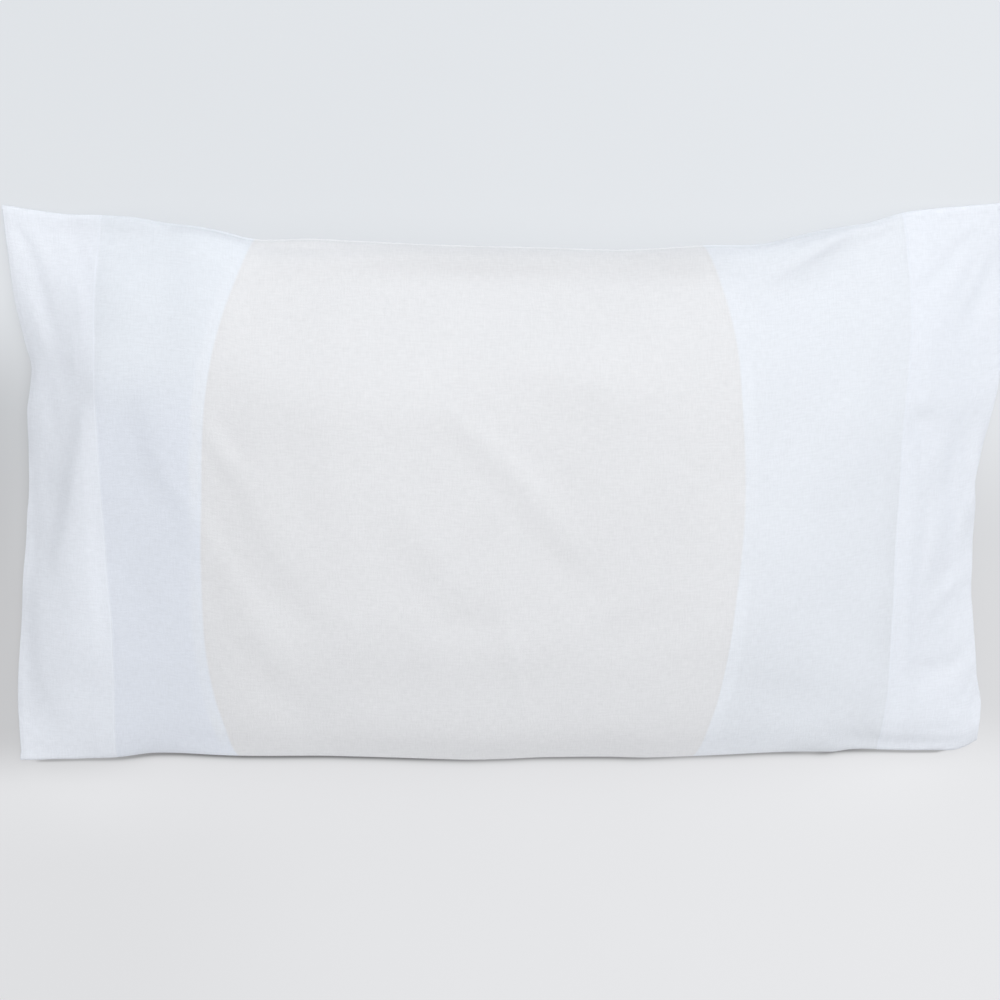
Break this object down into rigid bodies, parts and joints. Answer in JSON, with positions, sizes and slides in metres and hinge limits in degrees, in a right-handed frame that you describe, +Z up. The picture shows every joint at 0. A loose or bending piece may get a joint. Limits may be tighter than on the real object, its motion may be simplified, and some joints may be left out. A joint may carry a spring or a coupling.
{
  "type": "pillowcase",
  "caption": "White cotton pillowcase, hemmed and open at both ends, lying on its back over a shorter stuffed pillow that shows through the cloth.",
  "frame": {"origin": "middle of the outline seen from above, on the surface that the pillowcase lies on", "axes": "+X along the case from one mouth to the other, +Y across it towards the seamed edge, +Z up out of the face"},
  "size_m": [0.8952, 0.504, 0.1188],
  "materials": {
    "white_cotton": "matte plain weave",
    "natural_ticking": "matte plain weave"
  },
  "bodies": {
    "root": {"case": "white_cotton", "inner_pillow": "natural_ticking"}
  },
  "joints": []
}
